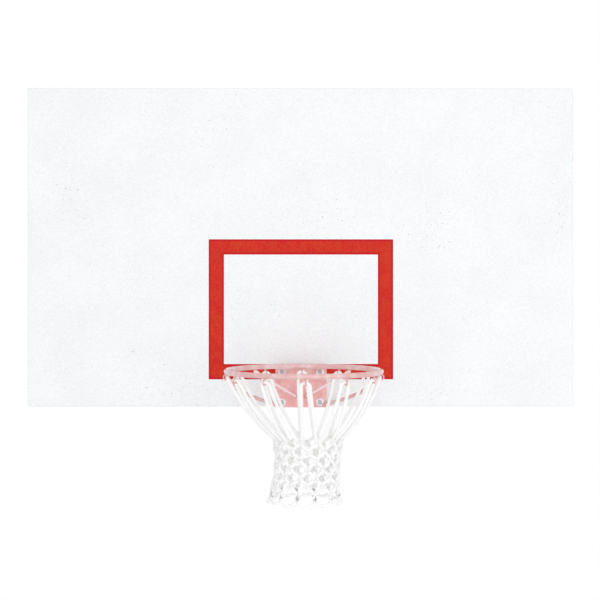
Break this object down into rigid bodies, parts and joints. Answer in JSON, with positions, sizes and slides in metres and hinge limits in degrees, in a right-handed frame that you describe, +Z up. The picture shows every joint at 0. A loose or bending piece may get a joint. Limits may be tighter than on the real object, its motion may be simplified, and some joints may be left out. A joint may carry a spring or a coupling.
{
  "type": "basketball backboard",
  "caption": "Rectangular steel basketball backboard with a red target square, a bolted ring on rod braces and a hanging cord net; rails on the back take a mounting frame.",
  "frame": {"origin": "centre of the four rear mounting holes, on the plane of the rails' rear legs", "axes": "+X along the board's width, to the right seen from the front; +Y to the rear, into the mounting frame; +Z up. The face looks along -Y."},
  "size_m": [1.8288, 0.6661, 1.3263],
  "materials": {
    "board_paint": "white powder coat with a fine orange peel",
    "target_paint": "red enamel, satin",
    "goal_paint": "faded red powder coat",
    "zinc": "zinc plate, dull",
    "cord": "white braided cord"
  },
  "bodies": {
    "board": {"face_panel": "board_paint", "target_border": "target_paint", "left_mount_rail": "board_paint", "right_mount_rail": "board_paint", "upper_cross_brace": "board_paint", "middle_cross_brace": "board_paint", "lower_cross_brace": "board_paint", "upper_left_side_brace": "board_paint", "upper_right_side_brace": "board_paint", "lower_left_side_brace": "board_paint", "lower_right_side_brace": "board_paint", "goal_backing_plate": "board_paint", "goal_bracket": "goal_paint", "ring": "goal_paint", "brace_left": "goal_paint", "brace_right": "goal_paint", "strut_left": "goal_paint", "strut_right": "goal_paint", "net_hooks": "goal_paint", "goal_bolts": "zinc", "front_washers": "zinc", "rear_washers": "zinc", "lock_washers": "zinc", "goal_nuts": "zinc", "net_loops": "cord"},
    "net": {"net_mesh": "cord"}
  },
  "joints": [
    {"name": "net_swing", "type": "hinge", "parent": "board", "child": "net", "pos_m": [0, -0.4191, -0.4082], "axis": [1, 0, 0], "range_deg": [-12, 12], "deforming": ["net_loops"]}
  ]
}
